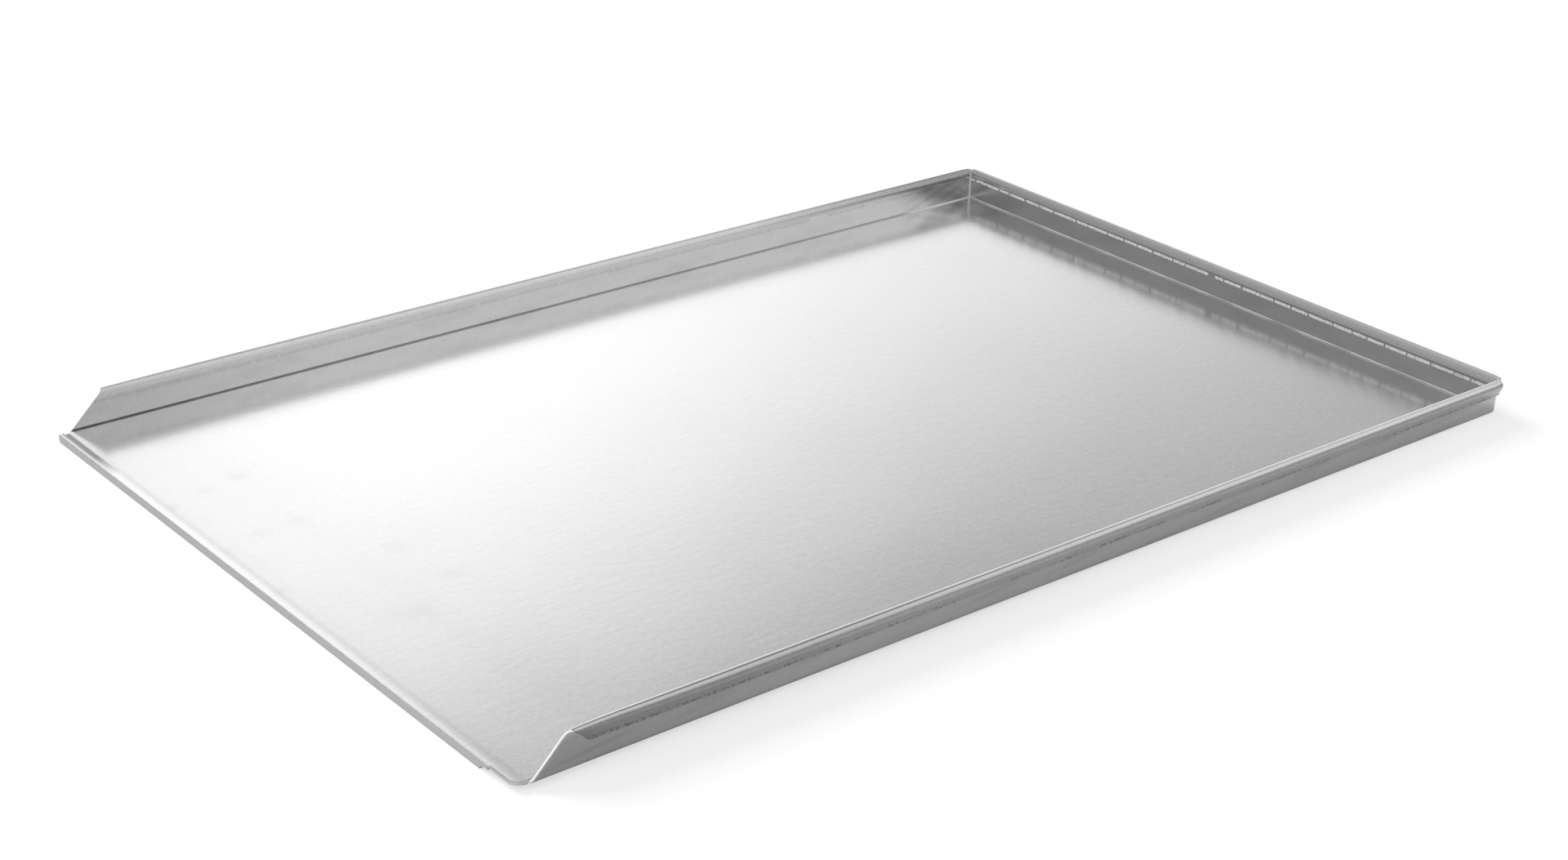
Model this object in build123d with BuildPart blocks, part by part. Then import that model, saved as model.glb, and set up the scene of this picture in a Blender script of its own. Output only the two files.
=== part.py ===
from build123d import *
import os
from math import acos, cos, degrees, pi, radians, sin, sqrt, tan

# Bakery sheet with three raised, hemmed sides and one open side, cut and folded from one aluminium blank.
# The closed end is at +X, the open side at -X, the front wall at -Y, the back wall at +Y, and +Z is up.
# The origin is under the middle of the sheet, level with the lowest edge of the lip that turns down.

os.makedirs("parts", exist_ok=True)

# Size of the whole sheet, in millimetres
overall_length = 600.0        # from the outer face of the lip to the sprung tips of the end hem
overall_width = 400.0         # over the hems of the two side walls
sheet = 1.5                   # thickness of the aluminium
wall_rise = 19.0              # from the underside of the floor to the top of the hems
overrun = 5.0                 # how far a cut reaches past what it cuts

# Bends
floor_bend_radius = 1.0       # inside radius where a wall turns up
lip_bend_radius = 0.5         # inside radius where the lip turns down
lip_depth = 3.9               # from the top of the floor to the lower edge of the lip

# Hem rolled outwards along the top of each wall
hem_hollow_radius = 1.4       # inside radius of the roll
hem_depth = 7.5               # from the top of the roll to the lower edge of its leaf
hem_lean = 16.0               # degrees by which the leaf leans back in towards the wall
hem_skirt = 1.0               # upright strip under the roll, down to the wall

# The same hem squeezed flat where the open end was cut
pinched_hollow_radius = 0.2
pinched_lean = 0.0
pinch_length = 130.0          # from the open end to where the roll has its full size
pinch_step_shares = (0.0, 0.1, 0.22, 0.36, 0.52, 0.72, 1.0)
pinch_power = 3

# The leaf of the end hem springs open and hangs lower at both closed corners
sprung_lean = -6.0
sprung_depth = 10.5
sprung_length = 14.0
corner_round = 1.4            # rounding of the upright corner edges

# Slanting cut of the side walls at the open end
cut_setback = 6.4             # from the outer face of the lip to the cut, at the underside of the floor
cut_angle = 45.0

# Ends of the lip and the corners of the floor beside them
lip_front_setback = 23.5      # from the outside of the front hem to the front end of the lip
lip_back_setback = 6.0        # from the outside of the back hem to the back end of the lip
lip_relief_length = 5.9       # length of the hollow curve at the front end of the lip
lip_end_round = 1.2           # rounding of the lower corner at the back end of the lip
plate_edge_setback = 0.7      # from the outer face of the lip to the bare edge of the floor in front of it
notch_width = 1.6             # small relief notch between the lip and the back wall
notch_depth = 1.0

# Levels and places that follow
floor_top = lip_depth
floor_under = floor_top - sheet
rim_top = floor_under + wall_rise
hem_radius = hem_hollow_radius + sheet
pinched_radius = pinched_hollow_radius + sheet
wall_top = rim_top - hem_radius - hem_skirt
spring_level = rim_top - hem_radius
bend_level = floor_top + floor_bend_radius


def leaf_points(hollow_radius, lean, depth):
    """Corners of a hem's leaf, as distances outwards from the wall's inner face and heights.

    The leaf leaves the roll where the roll's surface has turned through 180 degrees plus the lean, and runs
    straight to its lower edge. Returned from the roll outside, down, across the edge, and up to the roll inside.
    """
    roll_radius = hollow_radius + sheet
    centre = Vector(roll_radius, rim_top - roll_radius)
    outwards = Vector(cos(radians(lean)), -sin(radians(lean)))
    down = Vector(-sin(radians(lean)), -cos(radians(lean)))
    outer_start = centre + outwards * roll_radius
    inner_start = centre + outwards * hollow_radius
    leaf_length = (outer_start.Y - (rim_top - depth)) / cos(radians(lean))
    outer_edge = outer_start + down * leaf_length
    inner_edge = outer_edge - outwards * sheet
    return outer_start, outer_edge, inner_edge, inner_start


sprung_reach = leaf_points(hem_hollow_radius, sprung_lean, sprung_depth)[1].X
open_edge_x = -overall_length / 2
end_face_x = overall_length / 2 - sprung_reach       # inner face of the end wall
side_face_y = overall_width / 2 - 2 * hem_radius     # inner face of a side wall
lip_bend_x = open_edge_x + sheet + lip_bend_radius
cut_start_x = open_edge_x + cut_setback
lip_front_y = -overall_width / 2 + lip_front_setback
lip_back_y = overall_width / 2 - lip_back_setback


def cut_x(level):
    """Where the slanting cut of the open end crosses a height on the upright wall."""
    return cut_start_x + (level - floor_under) / tan(radians(cut_angle))


def front_section_plane(x):
    """Plane across the front wall at x: its own x axis points outwards from the inner face, its y axis up."""
    return Plane(origin=(x, -side_face_y, 0), x_dir=(0, -1, 0), z_dir=(-1, 0, 0))


def end_section_plane(y):
    """The same plane across the end wall at y."""
    return Plane(origin=(end_face_x, y, 0), x_dir=(1, 0, 0), z_dir=(0, -1, 0))


def wall_section(plane):
    """Section of a wall: the bend that joins it to the floor, and the upright up to the hem."""
    bend_centre = (-floor_bend_radius, bend_level)
    with BuildSketch(plane) as section:
        with BuildLine():
            Line((-floor_bend_radius, floor_under), (-floor_bend_radius, floor_top))
            CenterArc(bend_centre, floor_bend_radius, -90, 90)
            Polyline((0, bend_level), (0, wall_top), (sheet, wall_top), (sheet, bend_level))
            CenterArc(bend_centre, floor_bend_radius + sheet, -90, 90)
        make_face()
    return section.sketch


def hem_section(plane, hollow_radius, lean, depth):
    """Section of a hem: an upright strip, the roll over the top, and the leaf that hangs outside the wall."""
    roll_radius = hollow_radius + sheet
    centre = (roll_radius, rim_top - roll_radius)
    outer_start, outer_edge, inner_edge, inner_start = leaf_points(hollow_radius, lean, depth)
    with BuildSketch(plane) as section:
        with BuildLine():
            Line((0, wall_top), (0, rim_top - roll_radius))
            CenterArc(centre, roll_radius, 180, -180 - lean)
            Polyline(outer_start, outer_edge, inner_edge, inner_start)
            CenterArc(centre, hollow_radius, -lean, 180 + lean)
            Polyline((sheet, rim_top - roll_radius), (sheet, wall_top), (0, wall_top))
        make_face()
    return section.sketch


# Floor: the flat of the blank between the bend lines, with its own bare corner in front of the lip
with BuildPart() as floor_sheet:
    bare_edge_x = open_edge_x + plate_edge_setback
    bare_corner_radius = cut_start_x - bare_edge_x
    with BuildSketch(Plane.XY.offset(floor_under)):
        with BuildLine():
            Polyline(
                (end_face_x - floor_bend_radius, side_face_y - floor_bend_radius),
                (end_face_x - floor_bend_radius, -side_face_y + floor_bend_radius),
                (cut_start_x, -side_face_y + floor_bend_radius),
                (cut_start_x, -side_face_y),
            )
            CenterArc((cut_start_x, -side_face_y + bare_corner_radius), bare_corner_radius, 180, 90)
            Polyline(
                (bare_edge_x, -side_face_y + bare_corner_radius),
                (bare_edge_x, lip_front_y),
                (lip_bend_x, lip_front_y),
                (lip_bend_x, side_face_y - floor_bend_radius),
                (lip_bend_x + notch_depth, side_face_y - floor_bend_radius - notch_width),
                (cut_start_x, side_face_y - floor_bend_radius),
                (end_face_x - floor_bend_radius, side_face_y - floor_bend_radius),
            )
        make_face()
    extrude(amount=sheet)
floor_sheet.part.label = "floor_sheet"
export_step(floor_sheet.part, "parts/floor_sheet.step")

# Lip: the open edge turned down, cut away in a hollow curve at its front end
with BuildPart() as open_edge_lip:
    lip_bend_level = floor_under - lip_bend_radius
    with BuildSketch(Plane.XZ.offset(-lip_back_y)):
        with BuildLine():
            Line((lip_bend_x, floor_under), (lip_bend_x, floor_top))
            CenterArc((lip_bend_x, lip_bend_level), lip_bend_radius + sheet, 90, 90)
            Polyline(
                (open_edge_x, lip_bend_level),
                (open_edge_x, 0),
                (open_edge_x + sheet, 0),
                (open_edge_x + sheet, lip_bend_level),
            )
            CenterArc((lip_bend_x, lip_bend_level), lip_bend_radius, 90, 90)
        make_face()
    extrude(amount=lip_back_y - lip_front_y)
    lower_back_edge = open_edge_lip.edges().filter_by(Axis.X).group_by(Axis.Y)[-1].sort_by(Axis.Z)[0]
    fillet(lower_back_edge, radius=lip_end_round)
    with BuildSketch(Plane.YZ.offset(open_edge_x - overrun)):
        with Locations((lip_front_y, 0)):
            Ellipse(lip_relief_length, floor_under)
    extrude(amount=2 * overrun, mode=Mode.SUBTRACT)
open_edge_lip.part.label = "open_edge_lip"
export_step(open_edge_lip.part, "parts/open_edge_lip.step")

# Front wall: bend and upright, cut on a slant at the open end and mitred into the end wall's bend
with BuildPart() as front_wall:
    extrude(wall_section(front_section_plane(end_face_x)), amount=end_face_x - open_edge_x)
    with BuildSketch(Plane.XZ) as open_end_cut:
        with BuildLine():
            Polyline(
                (open_edge_x - overrun, floor_under - overrun),
                (cut_x(floor_under - overrun), floor_under - overrun),
                (cut_x(wall_top + overrun), wall_top + overrun),
                (open_edge_x - overrun, wall_top + overrun),
                close=True,
            )
        make_face()
    extrude(amount=overall_width, both=True, mode=Mode.SUBTRACT)
    with BuildSketch() as bend_mitre:
        with BuildLine():
            Polyline(
                (end_face_x, -side_face_y),
                (end_face_x - floor_bend_radius, -side_face_y + floor_bend_radius),
                (end_face_x, -side_face_y + floor_bend_radius),
                close=True,
            )
        make_face()
    extrude(amount=bend_level, mode=Mode.SUBTRACT)
front_wall.part.label = "front_wall"
export_step(front_wall.part, "parts/front_wall.step")

# Back wall: the front wall mirrored
with BuildPart() as back_wall:
    mirror(front_wall.part, about=Plane.XZ)
back_wall.part.label = "back_wall"
export_step(back_wall.part, "parts/back_wall.step")

# End wall: the same bend and upright across the closed end, mitred at both ends
with BuildPart() as end_wall:
    extrude(wall_section(end_section_plane(side_face_y)), amount=2 * side_face_y)
    with BuildSketch() as end_mitre:
        with BuildLine():
            Polyline(
                (end_face_x, -side_face_y),
                (end_face_x - floor_bend_radius, -side_face_y),
                (end_face_x - floor_bend_radius, -side_face_y + floor_bend_radius),
                close=True,
            )
        make_face()
        mirror(about=Plane.XZ)
    extrude(amount=bend_level, mode=Mode.SUBTRACT)
end_wall.part.label = "end_wall"
export_step(end_wall.part, "parts/end_wall.step")

# Front hem: the roll tightens over its last stretch and its slanting end goes on from the wall's cut,
# as the flat blank was cut in one line before the hem was rolled over
with BuildPart() as front_rim:
    hem_start_x = cut_x(wall_top)
    hem_stations = []
    for share in pinch_step_shares:
        ease = (1 - share) ** pinch_power
        hollow = hem_hollow_radius - (hem_hollow_radius - pinched_hollow_radius) * ease
        lean = hem_lean - (hem_lean - pinched_lean) * ease
        station = front_section_plane(hem_start_x + share * pinch_length)
        hem_stations.append(hem_section(station, hollow, lean, hem_depth))
    hem_stations.append(hem_section(front_section_plane(end_face_x), hem_hollow_radius, hem_lean, hem_depth))
    loft(hem_stations, ruled=True)

    # On the wall's side of the roll the cut goes on upwards
    pinched_spring = rim_top - pinched_radius
    roll_start_x = cut_x(pinched_spring)
    roll_end_x = roll_start_x + pi * (pinched_hollow_radius + sheet / 2) / tan(radians(cut_angle))
    with BuildSketch(Plane.XZ.offset(side_face_y - overrun)):
        with BuildLine():
            Polyline(
                (hem_start_x - overrun, wall_top - overrun),
                (hem_start_x - overrun, pinched_spring),
                (roll_start_x, pinched_spring),
                (cut_x(wall_top - overrun), wall_top - overrun),
                close=True,
            )
        make_face()
    extrude(amount=overrun + pinched_radius, mode=Mode.SUBTRACT)

    # Over the top it runs slantwise across the roll
    with BuildSketch(Plane.XY.offset(pinched_spring)):
        with BuildLine():
            Polyline(
                (hem_start_x - overrun, -side_face_y),
                (roll_start_x, -side_face_y),
                (roll_end_x, -side_face_y - 2 * pinched_radius),
                (roll_end_x, -side_face_y - 2 * hem_radius),
                (hem_start_x - overrun, -side_face_y - 2 * hem_radius),
                close=True,
            )
        make_face()
    extrude(amount=hem_radius, mode=Mode.SUBTRACT)

    # On the leaf it comes down again, and the closed end has the same slant the other way
    leaf_run = (hem_depth - pinched_radius + overrun) / tan(radians(cut_angle))
    corner_run = (hem_depth - hem_radius + overrun) / tan(radians(cut_angle))
    with BuildSketch(Plane.XZ.offset(side_face_y + pinched_radius)):
        with BuildLine():
            Polyline(
                (hem_start_x - overrun, pinched_spring),
                (roll_end_x, pinched_spring),
                (roll_end_x + leaf_run, rim_top - hem_depth - overrun),
                (hem_start_x - overrun, rim_top - hem_depth - overrun),
                close=True,
            )
            Polyline(
                (end_face_x, spring_level),
                (end_face_x, rim_top - hem_depth - overrun),
                (end_face_x - corner_run, rim_top - hem_depth - overrun),
                close=True,
            )
        make_face()
    extrude(amount=2 * hem_radius, mode=Mode.SUBTRACT)
front_rim.part.label = "front_rim"
export_step(front_rim.part, "parts/front_rim.step")

# Back hem: the front hem mirrored
with BuildPart() as back_rim:
    mirror(front_rim.part, about=Plane.XZ)
back_rim.part.label = "back_rim"
export_step(back_rim.part, "parts/back_rim.step")

# End hem: full size throughout, its leaf sprung open and hanging lower towards both corners
with BuildPart() as end_rim:
    full_end_y = side_face_y - sprung_length
    sprung_front = hem_section(end_section_plane(-side_face_y), hem_hollow_radius, sprung_lean, sprung_depth)
    full_front = hem_section(end_section_plane(-full_end_y), hem_hollow_radius, hem_lean, hem_depth)
    full_back = hem_section(end_section_plane(full_end_y), hem_hollow_radius, hem_lean, hem_depth)
    sprung_back = hem_section(end_section_plane(side_face_y), hem_hollow_radius, sprung_lean, sprung_depth)
    loft([sprung_front, full_front, full_back, sprung_back], ruled=True)
end_rim.part.label = "end_rim"
export_step(end_rim.part, "parts/end_rim.step")

# Front corner weld: the upright edges and the ends of the rolls, run together along the mitre and dressed off
with BuildPart() as front_corner_weld:
    with BuildSketch(front_section_plane(end_face_x)):
        with BuildLine():
            outer_bend_radius = floor_bend_radius + sheet
            foot_level = bend_level - sqrt(outer_bend_radius ** 2 - floor_bend_radius ** 2)
            bend_turn = degrees(acos(floor_bend_radius / outer_bend_radius))
            Line((0, foot_level), (0, spring_level))
            CenterArc((hem_radius, spring_level), hem_radius, 180, -180)
            Polyline((2 * hem_radius, spring_level), (sheet, spring_level), (sheet, bend_level))
            CenterArc((-floor_bend_radius, bend_level), outer_bend_radius, 0, -bend_turn)
        make_face()
    extrude(amount=-2 * hem_radius)
    corner_mitre = Plane(origin=(end_face_x, -side_face_y, 0), z_dir=(1, 1, 0))
    split(bisect_by=corner_mitre, keep=Keep.BOTTOM)
    mirror(about=corner_mitre)
    upright_edge = front_corner_weld.edges().filter_by(Axis.Z).sort_by(Axis.X)[-1]
    fillet(upright_edge, radius=corner_round)
    with BuildSketch(Plane.XY.offset(spring_level - overrun)):
        with BuildLine():
            Polyline(
                (end_face_x, -side_face_y - 2 * hem_radius),
                (end_face_x + 2 * hem_radius, -side_face_y),
                (end_face_x + 2 * hem_radius + overrun, -side_face_y),
                (end_face_x + 2 * hem_radius + overrun, -side_face_y - 2 * hem_radius - overrun),
                (end_face_x, -side_face_y - 2 * hem_radius - overrun),
                close=True,
            )
        make_face()
    extrude(amount=hem_radius + 2 * overrun, mode=Mode.SUBTRACT)
front_corner_weld.part.label = "front_corner_weld"
export_step(front_corner_weld.part, "parts/front_corner_weld.step")

# Back corner weld: the front one mirrored
with BuildPart() as back_corner_weld:
    mirror(front_corner_weld.part, about=Plane.XZ)
back_corner_weld.part.label = "back_corner_weld"
export_step(back_corner_weld.part, "parts/back_corner_weld.step")
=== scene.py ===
from functools import partial
from math import cos, pi, radians, sin, sqrt

import bmesh
import bpy
import numpy as np
from mathutils import Matrix, Vector


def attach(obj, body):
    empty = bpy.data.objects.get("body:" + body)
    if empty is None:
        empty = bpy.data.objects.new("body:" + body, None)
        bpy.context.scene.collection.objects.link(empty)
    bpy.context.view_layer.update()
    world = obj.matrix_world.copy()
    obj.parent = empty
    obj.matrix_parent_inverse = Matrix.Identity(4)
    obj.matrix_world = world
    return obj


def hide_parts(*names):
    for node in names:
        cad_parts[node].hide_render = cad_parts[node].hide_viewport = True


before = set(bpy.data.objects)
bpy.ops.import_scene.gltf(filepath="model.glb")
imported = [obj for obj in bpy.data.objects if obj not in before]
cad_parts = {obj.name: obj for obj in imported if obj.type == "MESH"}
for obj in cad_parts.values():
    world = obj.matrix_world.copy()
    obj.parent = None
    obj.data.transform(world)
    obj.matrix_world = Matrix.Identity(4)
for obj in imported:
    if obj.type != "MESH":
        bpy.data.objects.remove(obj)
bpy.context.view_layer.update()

# Camera at the photograph's viewing angle, with its small roll.
# Its place is the point on the sheet that it looks at, the direction back from there, and the distance.
camera_data = bpy.data.cameras.new("camera")
camera_data.sensor_width = 36
camera_data.lens = 60.615
camera_data.clip_start = 0.05
camera_data.clip_end = 50
camera = bpy.data.objects.new("camera", camera_data)
azimuth, elevation, roll = radians(-39.930), radians(24.581), radians(1.805)
looked_at = Vector((-0.01185, -0.00157, 0.0024))
camera_distance = 1.2947
backwards = Vector((sin(azimuth) * cos(elevation), -cos(azimuth) * cos(elevation), sin(elevation)))
level_right = Vector((0, 0, 1)).cross(backwards).normalized()
level_up = backwards.cross(level_right)
camera_right = level_right * cos(roll) + level_up * sin(roll)
camera_up = level_up * cos(roll) - level_right * sin(roll)
camera_turn = Matrix((camera_right, camera_up, backwards)).transposed().to_4x4()
camera.matrix_world = Matrix.Translation(looked_at + backwards * camera_distance) @ camera_turn
bpy.context.scene.collection.objects.link(camera)
bpy.context.scene.camera = camera
bpy.context.scene.view_settings.view_transform = "Standard"

# Table top: a plain pale floor that touches the lip's lower edge and the underside near the closed end.
# It is white to the camera and somewhat darker in the metal, and it keeps the soft shadow. From underneath it is clear.
table_half = 3.0
lip_touch_x = -0.3
table_slope = 0.00204 / 0.555
table_gap = 0.00002               # keeps the table just below the metal
matt_white, less_in_metal = 0.8, 0.33
glow_strength, glow_share = 1.22, 0.5
table_mesh = bpy.data.meshes.new("table_top")
table_corners = [(x, y, (x - lip_touch_x) * table_slope - table_gap)
                 for x, y in ((-table_half, -table_half), (table_half, -table_half),
                              (table_half, table_half), (-table_half, table_half))]
table_mesh.from_pydata(table_corners, [], [(0, 1, 2, 3)])
table_top = bpy.data.objects.new("table_top", table_mesh)
bpy.context.scene.collection.objects.link(table_top)


def number(tree, operation, *values):
    """Output of a Math node in a node tree, worked out from sockets or plain numbers."""
    node = tree.nodes.new("ShaderNodeMath")
    node.operation = operation
    for socket, value in zip(node.inputs, values):
        if isinstance(value, (int, float)):
            socket.default_value = value
        else:
            tree.links.new(value, socket)
    return node.outputs[0]


def shader_between(tree, share, first, second):
    """Output of a Mix Shader node in a node tree: the first shader where the share is 0, the second where it is 1."""
    node = tree.nodes.new("ShaderNodeMixShader")
    for socket, value in zip(node.inputs, (share, first, second)):
        tree.links.new(value, socket)
    return node.outputs[0]


table_white = bpy.data.materials.new("table_white")
table_white.use_nodes = True
tree = table_white.node_tree
tree.nodes.clear()
output = tree.nodes.new("ShaderNodeOutputMaterial")
matt = tree.nodes.new("ShaderNodeBsdfDiffuse")
glow = tree.nodes.new("ShaderNodeEmission")
glow.inputs["Strength"].default_value = glow_strength
clear = tree.nodes.new("ShaderNodeBsdfTransparent")
rays = tree.nodes.new("ShaderNodeLightPath")
side_seen = tree.nodes.new("ShaderNodeNewGeometry")
matt_colour = number(tree, "MULTIPLY_ADD", rays.outputs["Is Glossy Ray"], -less_in_metal, matt_white)
tree.links.new(matt_colour, matt.inputs["Color"])
to_camera = number(tree, "MULTIPLY", rays.outputs["Is Camera Ray"], glow_share)
surface = shader_between(tree, to_camera, matt.outputs[0], glow.outputs[0])
surface = shader_between(tree, side_seen.outputs["Backfacing"], surface, clear.outputs[0])
tree.links.new(surface, output.inputs["Surface"])
table_mesh.materials.append(table_white)

# Studio light: one large soft panel low behind the sheet, and a few softer glows, all as the metal mirrors them.
# A direction is given in degrees round from +X and up. The panel ends softly at three straight edges.
# Two wide lamps give the matt surfaces their light: one from behind, which casts the soft shadow in front, and a fill.
panel_edges = (((90, -45), 0.073, 0.263), ((-60, 10), -0.578, -0.252), ((0, 90), 0.12, 0.27))
panel_light, light_all_round = 0.614, 0.300
glows = (((-58.1, 21.1), 0.366, 1.5), ((66.0, 19.5), 0.67, 40.0), ((0.0, 66.0), 0.28, 8.0),
         ((47.0, 33.0), -0.09, 70.0))             # direction, strength and tightness; the last one takes light away
less_on_matt = 0.5
lamps = (("back_lamp", (99, 33), 2.5, 36), ("fill_lamp", (212, 28), 2.3, 120))     # direction, strength and width
world = bpy.data.worlds.new("studio")
bpy.context.scene.world = world
world.use_nodes = True
tree = world.node_tree
tree.nodes.clear()
output = tree.nodes.new("ShaderNodeOutputWorld")
background = tree.nodes.new("ShaderNodeBackground")
background.inputs["Color"].default_value = (1, 1, 1, 1)
light_from = tree.nodes.new("ShaderNodeTexCoord")
rays = tree.nodes.new("ShaderNodeLightPath")


def pointing(round_angle, up_angle):
    """Unit direction from an angle round the vertical and an angle up."""
    level = cos(radians(up_angle))
    return level * cos(radians(round_angle)), level * sin(radians(round_angle)), sin(radians(up_angle))


def towards(direction):
    """Socket that tells how nearly the light comes from a direction, as the cosine between them."""
    dot = tree.nodes.new("ShaderNodeVectorMath")
    dot.operation = "DOT_PRODUCT"
    dot.inputs[1].default_value = pointing(*direction)
    tree.links.new(light_from.outputs["Generated"], dot.inputs[0])
    return dot.outputs["Value"]


def step(tree, value, low, high, kind="SMOOTHSTEP"):
    """Output of a Map Range node in a node tree, which goes from 0 at low to 1 at high, smoothly or in a line."""
    node = tree.nodes.new("ShaderNodeMapRange")
    node.interpolation_type = kind
    node.inputs["From Min"].default_value = low
    node.inputs["From Max"].default_value = high
    tree.links.new(value, node.inputs["Value"])
    return node.outputs["Result"]


panel = 1.0
for direction, low, high in panel_edges:
    panel = number(tree, "MULTIPLY", step(tree, towards(direction), low, high), panel)
light_level = number(tree, "MULTIPLY_ADD", panel, panel_light, light_all_round)
for direction, strength, tightness in glows:
    closeness = number(tree, "MULTIPLY_ADD", towards(direction), tightness, -tightness)
    light_level = number(tree, "MULTIPLY_ADD", number(tree, "EXPONENT", closeness), strength, light_level)
dimming = number(tree, "MULTIPLY_ADD", rays.outputs["Is Diffuse Ray"], -less_on_matt, 1.0)
light_level = number(tree, "MULTIPLY", light_level, dimming)
light_level = number(tree, "MAXIMUM", light_level, rays.outputs["Is Camera Ray"])
tree.links.new(light_level, background.inputs["Strength"])
tree.links.new(background.outputs[0], output.inputs["Surface"])

for name, direction, strength, width in lamps:
    lamp_data = bpy.data.lights.new(name, "SUN")
    lamp_data.energy = strength
    lamp_data.angle = radians(width)
    lamp = bpy.data.objects.new(name, lamp_data)
    lamp.rotation_euler = Vector(pointing(*direction)).to_track_quat("Z", "Y").to_euler()
    lamp.visible_glossy = False
    bpy.context.scene.collection.objects.link(lamp)

# Floor of the sheet: the flat of one aluminium blank, 1.5 mm thick, in the finish that the rolling mill leaves.
# It ends at the bend lines of the three walls and of the lip, and it is bare at its own corner in front.
sheet = 1.5
floor_under = 2.4
floor_top = floor_under + sheet
middle_level = floor_under + sheet / 2
bend_radius = 0.6                 # inside radius of the walls' bends
wall_face_y = 194.2               # inner faces of the side walls
wall_face_x = 293.385             # inner face of the end wall
lip_bend_x = -298.0
cut_start_x = -293.6              # where the slanting cut of the side walls leaves the floor
bare_edge_x = -299.3
bare_corner_radius = 5.7
lip_front_y = -176.5
joint_lap = 0.4                   # each bent piece takes this much of the flat beside its bend
edge_round = 0.4                  # rounding of the cut edges
edge_steps = np.array((0, 0.04, 0.12, 0.25, 0.4, 0.9))     # distances from a cut edge that draw its rounding
far_off = 9.0                     # a distance at which an edge or a row of marks has no effect
unevenness = 0.06
dish_depth, dish_start, dish_width = 0.3, 9, 30            # the floor dips a little inside the back and end walls


def ramp(value, start, width):
    """Rises evenly from 0 at the start to 1 after the width. With a negative width it rises the other way."""
    return np.clip((value - start) / width, 0, 1)


def near(distance, width):
    """Bell-shaped nearness: 1 at no distance, falling off over the width."""
    return np.exp(-(distance / width) ** 2)


def waves(across, along, lengths, seed):
    """Gentle unevenness: the mean of sine waves of the given lengths, each with a seeded direction and phase."""
    draw = np.random.default_rng(seed)
    total = np.zeros(np.broadcast(across, along).shape)
    for length in lengths:
        turn, phase = draw.uniform(0, 2 * pi, 2)
        total = total + np.sin(2 * pi * (across * cos(turn) + along * sin(turn)) / length + phase)
    return total / len(lengths)


def edge_half(distance):
    """Half the sheet's thickness at a distance from a cut edge: full inside, and a quarter round down to the edge."""
    inside = np.clip(distance, 0, edge_round)
    return sheet / 2 - edge_round + np.sqrt(edge_round ** 2 - (edge_round - inside) ** 2)


def quads_between(index):
    """Quads between the neighbouring points of a grid, from the points' numbers."""
    return np.stack([index[:-1, :-1], index[1:, :-1], index[1:, 1:], index[:-1, 1:]], -1).reshape(-1, 4)


def new_piece(name, points, faces):
    """Piece in the scene, from its points in millimetres and the faces between them."""
    mesh = bpy.data.meshes.new(name)
    mesh.from_pydata((points.reshape(-1, 3) / 1000).tolist(), [], faces)
    piece = bpy.data.objects.new(name, mesh)
    bpy.context.scene.collection.objects.link(piece)
    return piece


def keep_on_points(mesh, values):
    """Writes named values on a mesh, each as one number for all its points or one for each."""
    for name, value in values.items():
        value = np.broadcast_to(value, len(mesh.vertices)).astype(np.float32)
        mesh.attributes.new(name, "FLOAT", "POINT").data.foreach_set("value", value)


def smooth_off(mesh):
    """Shades a mesh smoothly, but for its sharp edges."""
    mesh.shade_smooth()
    mesh.set_sharp_from_angle(angle=radians(40))


def lay_sheet(name, middle, facing, half, outside=(0.0, 1.0), tone=(1.0, 1.0), pale=(0.0, 0.0),
              row=(far_off, far_off), along=0.0, pale_edge=1.0):
    """Sheet metal from its middle surface, in millimetres.

    The front face is the middle moved by half the thickness along the facing direction, and the back face is the
    middle moved the other way. Four strips close the borders. For the front and the back in turn, each point keeps how
    far it is on the outside of the finished article, how light its tone is, how pale and matt it is, which stands for
    rubbing in places and a painted highlight in others, and its distance from a row of tool marks, with its place
    along that row. The rounding of a cut edge is pale too, partly as bare cut metal and partly as a painted highlight.
    """
    rows, columns = middle.shape[:2]
    half = np.broadcast_to(half, (rows, columns))
    front = middle + facing * half[..., None]
    back = middle - facing * half[..., None]
    index = np.arange(rows * columns).reshape(rows, columns)
    quads = quads_between(index)
    step_rows = (middle[1:, :-1] - middle[:-1, :-1]).reshape(-1, 3)
    step_columns = (middle[:-1, 1:] - middle[:-1, :-1]).reshape(-1, 3)
    turned = (np.cross(step_rows, step_columns) * facing[:-1, :-1].reshape(-1, 3)).sum() < 0
    border = np.concatenate([index[:-1, 0], index[-1, :-1], index[:0:-1, -1], index[0, :0:-1]])
    following = np.roll(border, -1)
    to_back = rows * columns
    strips = np.stack([following, border, border + to_back, following + to_back], -1)
    faces = np.concatenate([quads, quads[:, ::-1] + to_back, strips])
    if turned:
        faces = faces[:, ::-1]
    piece = new_piece(name, np.stack([front, back]), faces.tolist())
    # cut edges are pale: partly bare cut metal, partly a painted highlight
    cut = pale_edge * np.clip((sheet / 2 - half) / edge_round, 0, 1) ** 1.5
    pale = [np.maximum(value, cut) for value in pale]
    sides = {"outside": outside, "tone": tone, "pale": pale, "tool_row": row, "along": (along, along)}
    for attribute, pair in sides.items():
        sides[attribute] = np.concatenate([np.broadcast_to(value, half.shape).ravel() for value in pair])
    keep_on_points(piece.data, sides)
    smooth_off(piece.data)
    return piece


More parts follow.
